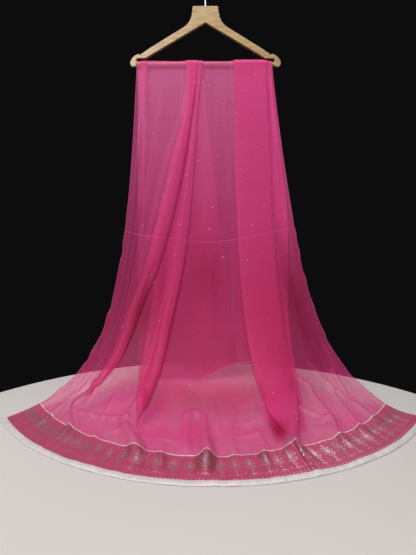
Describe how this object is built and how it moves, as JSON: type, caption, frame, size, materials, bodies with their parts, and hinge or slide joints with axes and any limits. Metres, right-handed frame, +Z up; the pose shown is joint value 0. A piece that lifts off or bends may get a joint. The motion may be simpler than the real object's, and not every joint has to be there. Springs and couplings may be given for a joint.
{
  "type": "dupatta stole on a hanger",
  "caption": "Sheer chiffon stole draped in folds over a wooden hanger's bar, with a brocade border and a bound hem spread into a train.",
  "frame": {"origin": "the point inside the top of the hanger's hook, where the hanger hangs", "axes": "+Z up, +X along the hanger's bar to the right as seen from the front, -Y to the front, where the train spreads"},
  "size_m": [0.9608, 0.4928, 1.0661],
  "materials": {
    "chiffon": "sheer, matte",
    "brocade": "woven, soft sheen",
    "silver_braid": "metallic thread",
    "satin": "satin",
    "pale_wood": "clear lacquer",
    "steel": "polished"
  },
  "bodies": {
    "root": {"field_front": "chiffon", "field_train": "chiffon", "field_over_bar": "chiffon", "field_back": "chiffon", "border_front": "brocade", "border_braid": "silver_braid", "hem_binding_front": "satin", "hem_binding_back": "satin", "hanger_body": "pale_wood", "hanger_bar": "pale_wood", "hanger_hook": "steel"}
  },
  "joints": []
}
